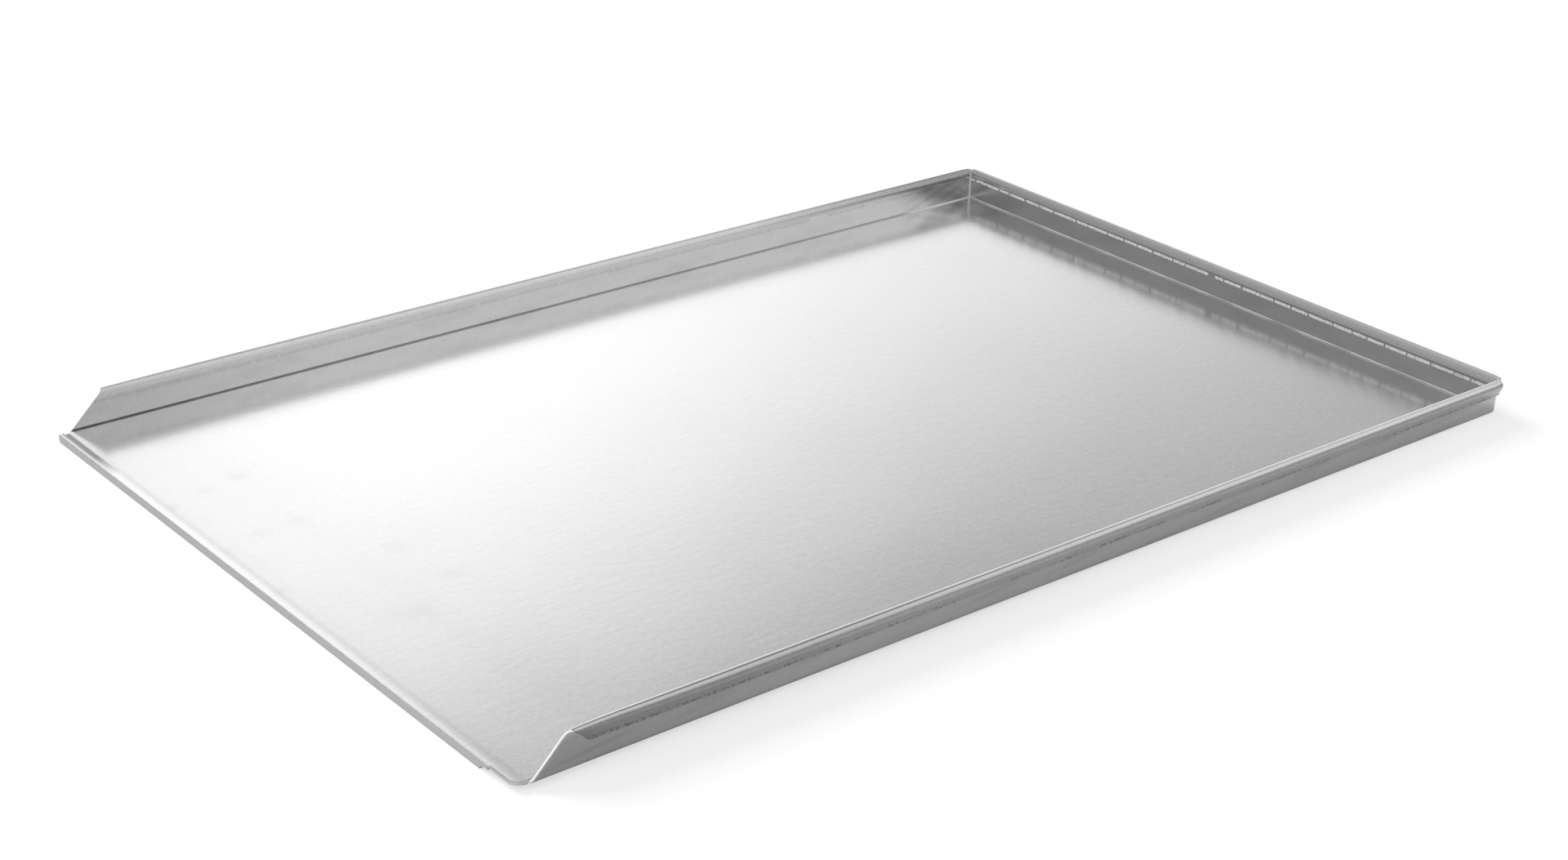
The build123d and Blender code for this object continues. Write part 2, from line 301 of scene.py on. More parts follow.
floor_x = np.concatenate([
    [lip_bend_x + joint_lap, -297.2, -296.8, -296.4, -296.0, -295.7, -295.4, -295.1, -294.6, -294.1],
    [cut_start_x - 0.02, cut_start_x + 0.02, -292.6, -291, -289, -286.5], np.linspace(-284, -216, 28),
    np.linspace(-211, 249, 88), np.linspace(254, wall_face_x - bend_radius - joint_lap, 18)])
front_corner = -wall_face_y + bare_corner_radius - np.sqrt(
    np.clip(bare_corner_radius ** 2 - (np.minimum(floor_x, cut_start_x) - cut_start_x) ** 2, 0, None))
floor_front = np.where(floor_x < cut_start_x, front_corner, -wall_face_y + bend_radius + joint_lap)
floor_back = np.interp(floor_x, (lip_bend_x, lip_bend_x + 1.0, cut_start_x), (0.0, -1.6, 0.0))
floor_back = floor_back + wall_face_y - bend_radius - joint_lap * (floor_x > cut_start_x)
share = np.concatenate([[0, 0.0001, 0.0003, 0.0007, 0.0011, 0.003], np.linspace(0.008, 0.992, 220), [0.997, 1.0]])
floor_y = floor_front[:, None] + share[None, :] * (floor_back - floor_front)[:, None]
floor_x = np.broadcast_to(floor_x[:, None], floor_y.shape)
calm = ramp(floor_x, wall_face_x, -30) * ramp(abs(floor_y), wall_face_y, -30) * ramp(floor_x, lip_bend_x, 25)
floor_sag = unevenness * calm * waves(floor_x, floor_y, (210, 160, 130, 95, 80), 4)
dished = ramp(np.minimum(wall_face_x - floor_x, wall_face_y - floor_y), dish_start, dish_width)
floor_sag = floor_sag - dish_depth * dished ** 2 * (3 - 2 * dished) * ramp(floor_x, -296, 40)
middle = np.stack([floor_x, floor_y, middle_level + floor_sag], -1)
rise_x = np.gradient(middle[..., 2], axis=0) / np.gradient(floor_x, axis=0)
rise_y = np.gradient(middle[..., 2], axis=1) / np.gradient(floor_y, axis=1)
facing = np.stack([-rise_x, -rise_y, np.ones_like(rise_x)], -1)
facing /= np.linalg.norm(facing, axis=-1, keepdims=True)
half = np.where(floor_x < cut_start_x, edge_half(floor_y - floor_front[:, None]), sheet / 2)


def press_line_and_painted_light(x, y):
    """Tone beside the lip: a thin dark line from the press, a strip of painted highlight outside it, and a patch of
    painted shade at the back.
    """
    line = -0.10 * near(x + 295.4, 0.3) * (0.6 + 0.4 * waves(0 * x, y, (9, 14, 23), 21))
    # painted highlight in a strip outside the line, with painted shade just inside it; painted shade in a patch at the
    # back
    strip = 0.08 * ramp(x, -296.6, -0.5) - 0.1 * near(x + 294.4, 1.3)
    dull = 0.72 * np.exp(-((x + 297.1) / 1.75) ** 4) * ramp(y, 138, 22)
    return 1 + line + strip - dull


# two faint darker bands along the lip, and a darker front corner
floor_tone = press_line_and_painted_light(floor_x, floor_y) - 0.012 * near(floor_x + 262, 14) - 0.02 * near(floor_x + 290, 5)
# painted shade: the floor is darker towards the open end, and near the front wall on that half
floor_tone = floor_tone - 0.04 * ramp(floor_x, -200, -80)
floor_tone = floor_tone - 0.06 * ramp(floor_y, -110, -60) * ramp(floor_x, 90, -90)

# slanting streaks before the end wall, partly the metal's grain and partly a painted reflection
streak_angle = radians(48)
streak = floor_y * cos(streak_angle) - floor_x * sin(streak_angle)
floor_tone = floor_tone + 0.11 * waves(0 * streak, streak, (6.3, 8.7, 11.9, 15.1), 8) * near(floor_x - 267, 10)

# hand smudges, as place, radius and strength
smudges = ((-253, 104, 5, 0.07), (-273, 99, 4, 0.05), (-254, 48, 5, 0.06), (-273, 46, 5, 0.05), (-231, 1, 5, 0.06),
           (-226, -35, 5, 0.05), (-256, -56, 9, 0.04), (-293, 92, 3, 0.06), (-293, 39, 3, 0.05), (-293, -7, 4, 0.05))
for smudge_x, smudge_y, radius, strength in smudges:
    away = np.hypot(floor_x - smudge_x, floor_y - smudge_y) * (1 + 0.3 * waves(floor_x, floor_y, (17, 12, 9), 5))
    floor_tone = floor_tone - strength * near(away, radius)
floor_plate = lay_sheet("floor_plate", middle, facing, half, tone=(floor_tone, 1.0), pale_edge=0.1)

# the bare tab between the lip's front end and the rounded corner
hair_short = 0.99999              # keeps the corner just inside its quarter circle, so that its root is never negative
tab_x = np.append(bare_edge_x + edge_steps, lip_bend_x + joint_lap)
tab_front = -wall_face_y + bare_corner_radius - np.sqrt(
    bare_corner_radius ** 2 - (tab_x - cut_start_x) ** 2 * hair_short)
tab_share = np.concatenate([[0, 0.003, 0.009, 0.02, 0.035], np.linspace(0.1, 1, 14)])
tab_y = tab_front[:, None] + tab_share[None, :] * (lip_front_y - tab_front)[:, None]
tab_x = np.broadcast_to(tab_x[:, None], tab_y.shape)
middle = np.stack([tab_x, tab_y, np.full(tab_x.shape, middle_level)], -1)
facing = np.broadcast_to([0.0, 0.0, 1.0], middle.shape)
half = edge_half(np.minimum(tab_x - bare_edge_x, tab_y - tab_front[:, None]))
floor_tab = lay_sheet("floor_tab", middle, facing, half, tone=(press_line_and_painted_light(tab_x, tab_y), 1.0), pale_edge=0.1)


def join_into(piece, other):
    """Puts the other mesh into the first piece, so that they are one object."""
    with bpy.context.temp_override(active_object=piece, selected_editable_objects=[piece, other]):
        bpy.ops.object.join()


join_into(floor_plate, floor_tab)


def new_group(name, inputs, outputs):
    """Node group with named inputs and outputs, which are numbers, but for Point, which is a place.

    It comes with the sockets that bring the inputs in and those that take the outputs.
    """
    group = bpy.data.node_groups.new(name, "ShaderNodeTree")
    for in_out, sockets in (("INPUT", inputs), ("OUTPUT", outputs)):
        for socket in sockets:
            kind = "NodeSocketVector" if socket == "Point" else "NodeSocketFloat"
            group.interface.new_socket(socket, in_out=in_out, socket_type=kind)
    return group, group.nodes.new("NodeGroupInput").outputs, group.nodes.new("NodeGroupOutput").inputs


def noise(tree, point, scale, detail):
    """Output of a Noise Texture node in a node tree, between 0 and 1."""
    node = tree.nodes.new("ShaderNodeTexNoise")
    node.inputs["Scale"].default_value = scale
    node.inputs["Detail"].default_value = detail
    tree.links.new(point, node.inputs["Vector"])
    return node.outputs["Fac"]


def rolled_grain():
    """Node group: the ripples along the rolling direction and the fine speckle of rolled sheet, from a point on it."""
    group, taken, given = new_group("rolled_grain", ("Point",), ("Ripples", "Speckle"))
    for name, detail, scale in (("Ripples", 1.0, (110.0, 260.0, 260.0)), ("Speckle", 3.0, (560.0, 720.0, 720.0))):
        mapping = group.nodes.new("ShaderNodeMapping")
        mapping.inputs["Scale"].default_value = scale
        group.links.new(taken["Point"], mapping.inputs["Vector"])
        group.links.new(noise(group, mapping.outputs[0], 1.0, detail), given[name])
    return group


def handling_marks():
    """Node group: soft smudges and a few small dark nicks left by use, from a point on the sheet."""
    group, taken, given = new_group("handling_marks", ("Point",), ("Smudges", "Nicks"))
    for name, scale, low, high in (("Smudges", 22.0, 0.52, 0.78), ("Nicks", 160.0, 0.74, 0.8)):
        cloud = noise(group, taken["Point"], scale, 3.0)
        group.links.new(step(group, cloud, low, high, "LINEAR"), given[name])
    return group


def tool_row():
    """Node group: a row of dashes from the folding tool, from the distance to the row and the place along it.

    The dashes repeat along the row with thin gaps between them, both pushed about by noise. Its second output is
    small dark specks of painted shade in loose clusters on the same row, and Shadow is a thin band just above it.
    """
    group, taken, given = new_group("tool_row", ("Distance", "Along", "Point"), ("Dashes", "Gap_shadows", "Shadow"))
    combine, between, cloud = partial(number, group), partial(step, group), partial(noise, group, taken["Point"])
    pitch = 13.0
    raggedness, wander = 0.7, 1.6
    shadow_rise = 1.6
    ragged = combine("MULTIPLY", combine("SUBTRACT", cloud(800.0, 2.0), 0.5), raggedness)
    width = combine("ABSOLUTE", combine("ADD", taken["Distance"], ragged))
    wandering = combine("MULTIPLY", cloud(45.0, 1.0), wander)
    repeat = combine("FRACT", combine("ADD", combine("MULTIPLY", taken["Along"], 1 / pitch), wandering))
    gap = combine("ABSOLUTE", combine("SUBTRACT", repeat, 0.5))
    dashes = combine("MULTIPLY", between(gap, 0.475, 0.445), between(cloud(60.0, 1.0), 0.28, 0.33))
    dashes = combine("MULTIPLY", between(width, 0.95, 0.7), dashes)
    dashes = combine("MULTIPLY", dashes, between(cloud(1300.0, 1.0), 0.2, 0.5))
    # clusters of painted shadow gaps
    clusters = combine("MULTIPLY", between(cloud(38.0, 1.0), 0.36, 0.46), between(cloud(700.0, 1.0), 0.50, 0.58))
    gap_shadows = combine("MULTIPLY", between(width, 1.7, 0.5), clusters)
    above = combine("ABSOLUTE", combine("SUBTRACT", taken["Distance"], shadow_rise))
    for name, mask in (("Dashes", dashes), ("Gap_shadows", gap_shadows), ("Shadow", between(above, 0.9, 0.2))):
        group.links.new(mask, given[name])
    return group


grain_group = rolled_grain()
marks_group = handling_marks()
row_group = tool_row()


def aluminium(name, inside_grey, outside_grey, roughness, ripple=0.4, speckle=0.16,
              row_highlight=0.0, row_painted_shade=0.0, row_shade=0.06):
    """Principled metal whose colour goes from the inside grey to the outside grey by the outside attribute.

    The tone attribute, the speckle and the smudges shift the grey a little, and ripples and speckle bump the surface.
    Where the metal is pale, which stands for rubbing in some places and for a painted highlight in others, it is
    lighter, rougher and less of a mirror. So are the dashes of the tool row where they carry a painted highlight, and
    where they carry painted shade, they are a shade darker. On the outside the row is a line of painted shadow gaps.
    """
    material = bpy.data.materials.new(name)
    material.use_nodes = True
    tree = material.node_tree
    combine = partial(number, tree)
    metal = tree.nodes["Principled BSDF"]
    place = tree.nodes.new("ShaderNodeTexCoord")
    groups = {}
    for group in (grain_group, marks_group, row_group):
        groups[group.name] = tree.nodes.new("ShaderNodeGroup")
        groups[group.name].node_tree = group
        tree.links.new(place.outputs["Object"], groups[group.name].inputs["Point"])
    grain, marks, row = (node.outputs for node in groups.values())
    attributes = {}
    for attribute in ("outside", "tone", "pale", "tool_row", "along"):
        read = tree.nodes.new("ShaderNodeAttribute")
        read.attribute_name = attribute
        attributes[attribute] = read.outputs["Fac"]
    tree.links.new(attributes["tool_row"], groups[row_group.name].inputs["Distance"])
    tree.links.new(attributes["along"], groups[row_group.name].inputs["Along"])

    specks = combine("SUBTRACT", grain["Speckle"], 0.5)
    shift = attributes["tone"]
    for mask, lighter in ((specks, speckle), (marks["Smudges"], -0.01), (marks["Nicks"], -0.12)):
        shift = combine("MULTIPLY_ADD", mask, lighter, shift)
    grey = combine("MULTIPLY_ADD", attributes["outside"], outside_grey - inside_grey, inside_grey)
    grey = combine("MULTIPLY", grey, shift)
    inside = combine("SUBTRACT", 1.0, attributes["outside"])
    dashes = combine("MULTIPLY", row["Dashes"], inside)
    shadow = combine("MULTIPLY", row["Shadow"], inside)
    gap_shadows = combine("MULTIPLY", row["Gap_shadows"], attributes["outside"])
    # painted shade: the shadow gaps on the outside, the darker dashes, and the band above the row
    for mask, darker in ((gap_shadows, 0.45), (dashes, row_painted_shade), (shadow, row_shade)):
        grey = combine("MULTIPLY", grey, combine("MULTIPLY_ADD", mask, -darker, 1.0))
    # pale: rubbing in some places, a painted highlight in others, and on the dashes where the row carries a highlight
    rubbed_and_highlit = combine("MAXIMUM", attributes["pale"], combine("MULTIPLY", dashes, row_highlight))
    rubbed_and_highlit_grey = combine("MULTIPLY", rubbed_and_highlit, 0.97)
    grey = combine("MAXIMUM", grey, rubbed_and_highlit_grey)
    colour = tree.nodes.new("ShaderNodeCombineColor")
    for channel in range(3):
        tree.links.new(grey, colour.inputs[channel])
    tree.links.new(colour.outputs[0], metal.inputs["Base Color"])

    rough = roughness
    for mask, rougher in ((attributes["outside"], 0.08), (specks, 0.06), (marks["Smudges"], 0.006), (rubbed_and_highlit, 0.3)):
        rough = combine("MULTIPLY_ADD", mask, rougher, rough)
    tree.links.new(rough, metal.inputs["Roughness"])
    tree.links.new(combine("MULTIPLY_ADD", rubbed_and_highlit, -0.8, 1.0), metal.inputs["Metallic"])
    relief = combine("MULTIPLY", grain["Speckle"], ripple * 0.05)
    relief = combine("MULTIPLY_ADD", grain["Ripples"], ripple, relief)
    bump = tree.nodes.new("ShaderNodeBump")
    bump.inputs["Strength"].default_value = 1.0
    bump.inputs["Distance"].default_value = 0.00001
    tree.links.new(relief, bump.inputs["Height"])
    tree.links.new(bump.outputs[0], metal.inputs["Normal"])
    return material


mill_floor = aluminium("mill_floor", 0.88, 0.90, 0.165, ripple=1.7, speckle=0.18)
floor_plate.data.materials.append(mill_floor)
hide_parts("floor_sheet")
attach(floor_plate, "root")

# Lip: the open edge of the blank turned down in the folding press, cut away in a hollow curve at its front end.
# It is the same sheet as the floor, seen from its dull outside.
lip_bend_radius = 0.5             # inside of the bend
lip_corner_radius = 0.6           # outside of the bend, set sharp by the press
lip_back_y = 194.0
lip_face_x = -300.0
relief_length, relief_height = 5.9, 2.36          # the hollow curve at the front end
lip_end_round = 1.2
flat_points, upright_points = 7, 9
lip_y = np.concatenate([[lip_front_y, -176.4, -176.2, -175.8, -175.3],
                        np.linspace(-174.6, lip_front_y + relief_length, 8), np.linspace(-169.5, 192.4, 120),
                        [192.8, 193.0, 193.3, 193.6, 193.8, 193.95, lip_back_y]])
front_rise = relief_height * np.sqrt(np.clip(1 - ((lip_y - lip_front_y) / relief_length) ** 2, 0, 1))
back_rise = lip_end_round - np.sqrt(np.clip(lip_end_round ** 2 - (lip_y - lip_back_y + lip_end_round) ** 2, 0, None))
lip_low = np.where(lip_y < lip_front_y + relief_length, front_rise, 0.0)
lip_low = lip_low + np.where(lip_y > lip_back_y - lip_end_round, back_rise, 0.0)
turn = np.linspace(pi / 2, pi, 17)


def lip_face(centre_x, radius, level):
    """One face of the lip, from the floor over the bend and down to the level of its lower edge.

    The flat runs to the centre of the bend, a quarter round follows, and then the upright. Every point below the
    lower edge is lifted onto it, along the same outline.
    """
    centre_z = level - radius
    x = np.concatenate([np.linspace(lip_bend_x + joint_lap, centre_x, flat_points + 1)[:-1],
                        centre_x + radius * np.cos(turn), np.full(upright_points, centre_x - radius)])
    z = np.concatenate([np.full(flat_points, level), centre_z + radius * np.sin(turn),
                        np.linspace(centre_z, 0, upright_points + 1)[1:]])
    z = np.maximum(z[None, :], lip_low[:, None])
    curve = centre_x - np.sqrt(radius ** 2 - np.clip(z - centre_z, 0, radius) ** 2)
    x = np.where(x[None, :] < centre_x, curve, x[None, :])
    return np.stack([x, np.broadcast_to(lip_y[:, None], z.shape), z], -1)


outer = lip_face(lip_face_x + lip_corner_radius, lip_corner_radius, floor_top)
inner = lip_face(lip_bend_x, lip_bend_radius, floor_under)
middle = (outer + inner) / 2
across = outer - inner
half = np.linalg.norm(across, axis=-1) / 2
facing = across / np.maximum(2 * half[..., None], 1e-9)
upright = ramp(outer[..., 2], floor_top, -lip_corner_radius)
lip_tone = press_line_and_painted_light(outer[..., 0], outer[..., 1]) * (1 - upright) + upright
# painted highlight along the outside of the lip's bend
bend_highlight = 0.3 * near(upright - 0.25, 0.25)
open_lip = lay_sheet("open_lip", middle, facing, half, outside=(upright, 1.0), tone=(lip_tone, 1.0),
                     pale=(bend_highlight, 0.0))
open_lip.data.materials.append(mill_floor)
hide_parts("open_edge_lip")
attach(open_lip, "root")

# Side walls: the long edges of the blank folded up, with the slanting cut at the open end.
# A row of marks from the folding tool runs along them, and each wall bows in slightly between its ends.
wall_top = 17.5
bend_level = floor_top + bend_radius
middle_bend = bend_radius + sheet / 2
rim_top = 21.4
end_cut = cut_start_x - floor_under           # the cut is at end_cut + height
back_overrun = 1.2                # the back wall and its hem reach this much further at the open end
bow_depth = 0.12
side_row_level = 15.7
upright_points = 30


def bow(along, reach, seed):
    """Inward bow of a wall along its length: nothing at its ends, and up to a quarter of a millimetre between."""
    calm = ramp(abs(along), reach, -60)
    return -bow_depth * calm * (1 + waves(along, 0 * along, (420, 260, 170), seed))


side_bow = partial(bow, reach=290, seed=7)
turn = np.linspace(-pi / 2, 0, 17)
profile_u = np.concatenate([[-bend_radius - joint_lap, -bend_radius - 0.2], -bend_radius + middle_bend * np.cos(turn),
                            np.full(upright_points, sheet / 2)])
profile_z = np.concatenate([[middle_level, middle_level], bend_level + middle_bend * np.sin(turn),
                            np.linspace(bend_level, wall_top, upright_points + 1)[1:]])
profile_turn = np.concatenate([[-pi / 2, -pi / 2], turn, np.zeros(upright_points)])  # direction of the outside face
rising = ramp(profile_z, bend_level, 4)
cut_steps = edge_steps * sqrt(2)


def side_wall(name, side):
    """Long wall: the section of bend and upright carried along x from the slanting cut to the mitre."""
    start = end_cut + profile_z - (back_overrun if side > 0 else 0)
    end = wall_face_x + np.minimum(profile_u, 0)
    run = np.concatenate([cut_steps, [3.0], np.linspace(4, 570, 150)])
    x = start[None, :] + run[:, None] / run[-1] * (end - start)[None, :]
    u = profile_u[None, :] + rising[None, :] * side_bow(x)
    z = np.broadcast_to(profile_z[None, :], x.shape)
    middle = np.stack([x, side * (wall_face_y + u), z], -1)
    facing = -np.stack([np.zeros(x.shape), np.broadcast_to(side * np.cos(profile_turn), x.shape),
                        np.broadcast_to(np.sin(profile_turn), x.shape)], -1)
    # dark in the fold, dulled by handling towards the open end, and painted shade in blotches towards the closed end
    folded = ramp(z, bend_level + 0.1, -0.2) * ramp(z, middle_level + 0.02, 0.1)
    fold = folded * np.interp(x, (-100, 200, 240, 246), (1.0, 0.7, 0.6, 0.0))
    dulled = 0.16 * ramp(x, -150, -100) + 0.07 * np.clip(waves(x, 4 * z, (60, 37, 23, 90), 13) + 0.1, 0, 1)
    corner_shade_blotches = ramp(x, 236, 22) * (0.19 + 0.26 * waves(x, 3 * z, (19, 31, 46, 13), 16))
    inside_tone = 1 - dulled - corner_shade_blotches * (1 - folded) - 0.7 * fold
    smears = 0.16 * np.clip(waves(x, 3 * z, (45, 28, 19, 12), 19) - 0.1, 0, 1)
    # painted light on the outside: a lit strip at the closed corner
    painted_light_corner = 0.3 * ramp(x, 289.5, 1.5)
    outside_tone = np.interp(x, (-290, -150, 240, 285), (0.8, 1.0, 1.0, 1.1)) + painted_light_corner - smears
    # painted highlight: the fold is pale near the closed end
    return lay_sheet(name, middle, facing, edge_half(run[:, None] / sqrt(2)), tone=(inside_tone, outside_tone),
                     pale=(0.7 * folded * ramp(x, 250, 6), 0.0), row=(z - side_row_level, far_off), along=x)


# the side walls' dashes are a shade darker, as painted shade
mill_wall = aluminium("mill_wall", 0.86, 0.90, 0.18, row_painted_shade=0.12)
for name, side in (("front_side_wall", -1), ("back_side_wall", 1)):
    wall = side_wall(name, side)
    wall.data.materials.append(mill_wall)
    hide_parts("front_wall" if side < 0 else "back_wall")
    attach(wall, "root")

# End wall: the closed short side, folded up the same way and mitred into both side walls.
# Its row of tool marks carries a painted highlight, and its fold a painted highlight, broken in places, over a dark
# foot.
end_bow = partial(bow, reach=190, seed=9)
reach = wall_face_y + np.minimum(profile_u, 0)[None, :]
y = np.linspace(-1, 1, 111)[:, None] * reach
u = profile_u[None, :] + rising[None, :] * end_bow(y)
z = np.broadcast_to(profile_z[None, :], y.shape)
middle = np.stack([wall_face_x + u, y, z], -1)
facing = -np.stack([np.broadcast_to(np.cos(profile_turn), y.shape), np.zeros(y.shape),
                    np.broadcast_to(np.sin(profile_turn), y.shape)], -1)
end_row_level = np.interp(y, (-180, 0, 180), (15.3, 15.65, 16.0))
folded = ramp(z, bend_level + 0.1, -0.2) * ramp(z, middle_level + 0.5, 0.2)
dark_foot = 0.35 * near(z - middle_level, 0.12)
shaded_corner = 0.05 * ramp(y, 95, 60) * (1 + 0.25 * waves(y, 2 * z, (31, 17, 23), 6))
# random wear, and a painted sheen towards the front corner
wear_and_front_sheen = 0.08 * waves(y, 1.5 * z, (83, 47, 29, 19), 12) - 0.08 * ramp(y, -90, -60)
highlight_breaks = np.clip(0.95 + 0.5 * waves(y, 0 * y, (17, 29, 41, 11), 23), 0.3, 1)
closed_end_wall = lay_sheet("closed_end_wall", middle, facing, sheet / 2, pale=(folded * highlight_breaks, 0.0),
                            tone=(1 - wear_and_front_sheen - shaded_corner - dark_foot, 1.0), row=(z - end_row_level, far_off), along=y)
# painted shade: the inside is a darker grey than the side walls' metal, and the row's dashes carry a painted highlight
end_wall_shaded_metal = aluminium("end_wall_shaded_metal", 0.67, 0.90, 0.18, row_highlight=0.95, row_shade=0.2)
closed_end_wall.data.materials.append(end_wall_shaded_metal)
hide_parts("end_wall")
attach(closed_end_wall, "root")

# Side hems: the top of each long wall rolled over outwards into a hollow bead with a leaf that hangs down.
# Towards the open end the roll is squeezed flat, and the slanting cut runs on over it, as the blank was cut flat.
full_hollow, pinched_hollow = 1.4, 0.2            # inside radius of the roll
full_lean, pinched_lean = 16.0, 0.0               # degrees by which the leaf turns in
pinch_length = 130.0
hem_depth = 7.5
hem_start_x = end_cut + wall_top
spring_level = rim_top - full_hollow - sheet      # height of the centre of the full roll
front_droop, droop_length = 1.1, 30               # the front roll is beaten down at its open end
gap_shadow_rise = 0.9                   # height of the row of painted shadow gaps over the leaf's lower edge
corner_pull = 0.9                 # the rolls are beaten in a little where they meet at the closed corners
pull_length = 6
skirt_points, roll_points, leaf_points = 5, 33, 12
leaf_end = 1.2                    # the last stretch of the leaf, where its points stand closer


def hem_section(hollow, lean, depth):
    """Middle line of a hem as distances outwards and heights, with the direction its visible face looks in.

    A strip goes straight up, the roll turns over the top by half a turn plus the lean, and the leaf runs straight
    down to the depth. Arrays of the three measures give one section each, along the first axis. Last comes how far
    each point is from the leaf's cut edge.
    """
    hollow, lean, depth = (np.asarray(value, float)[:, None] for value in (hollow, lean, depth))
    tilt = np.radians(lean)
    radius = hollow + sheet / 2
    centre_u, centre_z = hollow + sheet, rim_top - hollow - sheet
    skirt = np.linspace(0, 1, skirt_points)[None, :-1]
    skirt_z = wall_top + skirt * (centre_z - wall_top)
    skirt_u = np.full(skirt_z.shape, sheet / 2)
    angle = pi - np.linspace(0, 1, roll_points)[None, :] * (pi + tilt)
    roll_u = centre_u + radius * np.cos(angle)
    roll_z = centre_z + radius * np.sin(angle)
    outer_z = centre_z - (hollow + sheet) * np.sin(tilt)
    length = (outer_z - (rim_top - depth)) / np.cos(tilt)
    down = np.concatenate([np.linspace(0.1, 1, leaf_points) * (length - leaf_end), length - edge_steps[::-1]], 1)
    leaf_u = roll_u[:, -1:] - down * np.sin(tilt)
    leaf_z = roll_z[:, -1:] - down * np.cos(tilt)
    u = np.concatenate([skirt_u, roll_u, leaf_u], 1)
    z = np.concatenate([skirt_z, roll_z, leaf_z], 1)
    look = np.concatenate([np.full(skirt_z.shape, pi), angle, np.broadcast_to(-tilt, down.shape)], 1)
    to_edge = np.concatenate([np.full(skirt_z.shape, far_off), np.full(angle.shape, far_off), length - down], 1)
    return u, z, look, to_edge


def beaten_in(u, closeness):
    """Distance outwards near a closed corner: the further out the roll stands there, the more it is beaten in."""
    return u - corner_pull * closeness ** 2 * ramp(u, sheet, 4)


def hem_painted_light(side, x, look_up):
    """Painted light on a side hem, as a tone and a highlight, from the place along it and the degrees its face looks
    up.

    On the front hem the outer turn is darker by painted shade, and the inner edge carries a painted highlight that is
    strongest towards the open end. A line of painted shade runs along the top of both hems.
    """
    if side > 0:
        # painted shade: the back hem is darker at both ends, most at the closed corner
        tone = np.interp(x, (-290, -150, 120, 270), (0.9, 1.0, 1.0, 0.55))
        top_shade_line = 0.5 * near(look_up - 72, 26) * np.interp(x, (-290, -50, 100, 200), (1.0, 0.8, 0.3, 0.2))
        return tone - top_shade_line, 0.0
    # painted light: the front hem's tone follows the way its face looks, darkest on the outer turn, and changes along
    # it
    tone = np.interp(look_up, (-16, 0, 8, 15, 21, 28, 34, 40, 45, 50),
                     (1.05, 0.93, 0.80, 0.64, 0.55, 0.48, 0.56, 0.80, 0.95, 1.0))
    outer_along = np.interp(x, (-290, -200, -100, 240, 285), (0.75, 0.8, 1.0, 1.0, 1.1))
    top_along = np.interp(x, (-290, -150, -80, 0, 100, 200), (0.85, 0.80, 0.92, 1.0, 1.08, 1.16))
    tone = tone * np.where(look_up < 42, outer_along, top_along)
    # a line of painted shade along the top, and a painted highlight on the inner edge
    top_shade_line = near(look_up - 79, 9) * np.interp(x, (-290, -100, 0, 100, 200), (0.42, 0.38, 0.24, 0.08, 0.0))
    inner_edge_highlight = near(look_up - 110, 14) * np.interp(x, (-280, -180, 0, 200), (1.0, 0.9, 0.85, 0.75))
    return tone - top_shade_line, inner_edge_highlight


def side_hem(name, side):
    """Side hem: its section carried along x, each line of it starting where the slanting cut crosses it.

    The cut advances as fast as the developed sheet does. At the closed end the leaf is cut back on the same slant.
    """
    first_u, first_z, _, _ = hem_section([pinched_hollow], [pinched_lean], [hem_depth])
    developed = np.concatenate([[0], np.cumsum(np.hypot(np.diff(first_u[0]), np.diff(first_z[0])))])
    start = hem_start_x + developed - (back_overrun if side > 0 else 0)
    _, last_z, last_look, _ = hem_section([full_hollow], [full_lean], [hem_depth])
    end = wall_face_x - np.where(last_look[0] < pi / 2, np.clip(spring_level - last_z[0], 0, None), 0)
    run = np.concatenate([cut_steps, np.linspace(3, 130, 60), np.linspace(134, 570, 110)])
    x = start[None, :] + run[:, None] / run[-1] * (end - start)[None, :]
    open_end = x.mean(1) - hem_start_x
    ease = np.clip(1 - open_end / pinch_length, 0, 1) ** 3
    u, z, look, to_edge = hem_section(full_hollow - (full_hollow - pinched_hollow) * ease,
                                      full_lean - (full_lean - pinched_lean) * ease, np.full(ease.shape, hem_depth))
    u = beaten_in(u + side_bow(x), ramp(x, 287.4, pull_length))
    if side < 0:
        z = z - front_droop * np.clip(1 - open_end / droop_length, 0, 1)[:, None] ** 2 * ramp(z, 18.8, 1.5)
    middle = np.stack([x, side * (wall_face_y + u), z], -1)
    facing = np.stack([np.zeros(x.shape), side * np.cos(look), np.sin(look)], -1)
    half = edge_half(np.minimum(run[:, None] / sqrt(2), to_edge))
    look_up = np.degrees(look)
    # a row of painted shadow gaps just over the leaf's lower edge, where it stands off the wall
    gap_shadow_row = np.where(look < pi / 2, rim_top - hem_depth + gap_shadow_rise - z, far_off)
    tone, inner_edge_highlight = hem_painted_light(side, x, look_up)
    if side < 0:
        tone = tone - 0.1 * near(open_end[:, None] - 5, 7) * (look_up < 30)
    return lay_sheet(name, middle, facing, half, outside=(ramp(look_up, 52, -26), 1.0), tone=(tone, 1.0),
                     pale=(inner_edge_highlight, 0.0), row=(gap_shadow_row, far_off), along=x, pale_edge=ramp(look_up, 20, 40))


rolled_hem = aluminium("rolled_hem", 0.84, 0.82, 0.15, speckle=0.2)
for name, side in (("front_hem", -1), ("back_hem", 1)):
    hem = side_hem(name, side)
    hem.data.materials.append(rolled_hem)
    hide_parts("front_rim" if side < 0 else "back_rim")
    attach(hem, "root")

